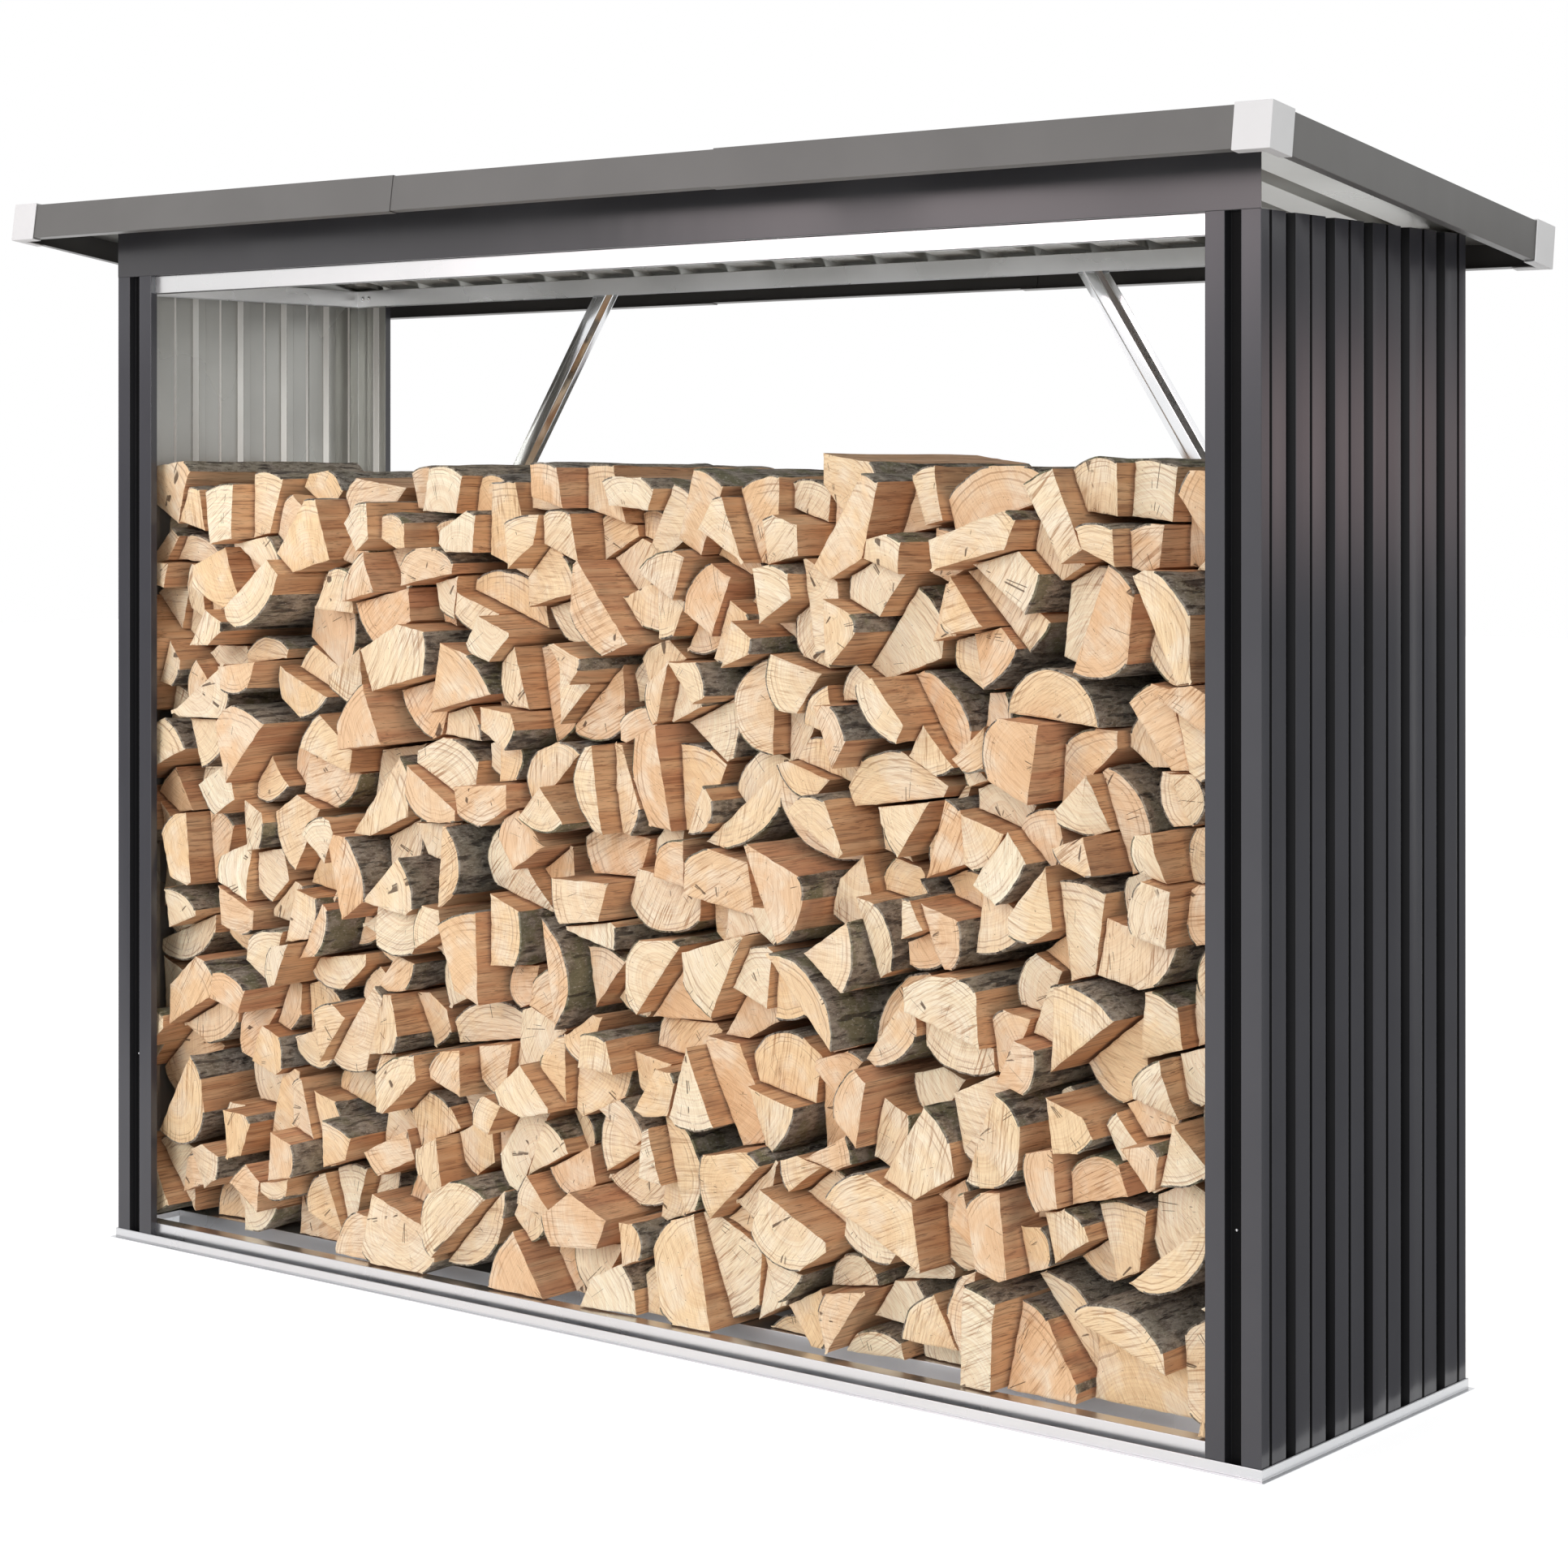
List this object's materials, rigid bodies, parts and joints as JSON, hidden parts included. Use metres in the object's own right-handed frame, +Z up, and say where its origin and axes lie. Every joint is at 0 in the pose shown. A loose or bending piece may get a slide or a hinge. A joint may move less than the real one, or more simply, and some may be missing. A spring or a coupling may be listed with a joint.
{
  "type": "log store",
  "caption": "Open-fronted sheet steel log store with ribbed side walls, a lean-to roof, a galvanised base frame and knee braces, stacked with split firewood.",
  "frame": {"origin": "on the ground, under the middle of the roof's reach in plan", "axes": "+X along the width to the right seen from the front, +Y to the back, +Z up"},
  "size_m": [2.1946, 0.7124, 1.5797],
  "materials": {
    "wall_paint": "satin",
    "roof_paint": "satin",
    "trim_paint": "satin",
    "zinc_rail": "satin",
    "zinc_brace": "polished",
    "cap_plastic": "matte",
    "log_wood": "raw split wood"
  },
  "bodies": {
    "root": {"base_rail_front": "zinc_rail", "top_rail_front": "zinc_rail", "base_rail_right": "zinc_rail", "top_rail_right": "zinc_rail", "base_rail_back": "zinc_rail", "top_rail_back": "zinc_rail", "base_rail_left": "zinc_rail", "top_rail_left": "zinc_rail", "floor_bar_1": "zinc_rail", "floor_bar_2": "zinc_rail", "floor_bar_3": "zinc_rail", "wall_left": "wall_paint", "brace_left": "zinc_brace", "wall_right": "wall_paint", "brace_right": "zinc_brace", "header_panel": "wall_paint", "roof_panel_left": "roof_paint", "trim_front_left": "trim_paint", "trim_back_left": "trim_paint", "roof_panel_middle": "roof_paint", "trim_front_middle": "trim_paint", "trim_back_middle": "trim_paint", "roof_panel_right": "roof_paint", "trim_front_right": "trim_paint", "trim_back_right": "trim_paint", "trim_left": "trim_paint", "trim_right": "trim_paint", "cap_front_left": "cap_plastic", "cap_front_right": "cap_plastic", "cap_back_left": "cap_plastic", "cap_back_right": "cap_plastic", "log_course_1": "log_wood", "log_course_2": "log_wood", "log_course_3": "log_wood", "log_course_4": "log_wood", "log_course_5": "log_wood", "log_course_6": "log_wood", "log_course_7": "log_wood", "log_course_8": "log_wood", "log_course_9": "log_wood"}
  },
  "joints": []
}
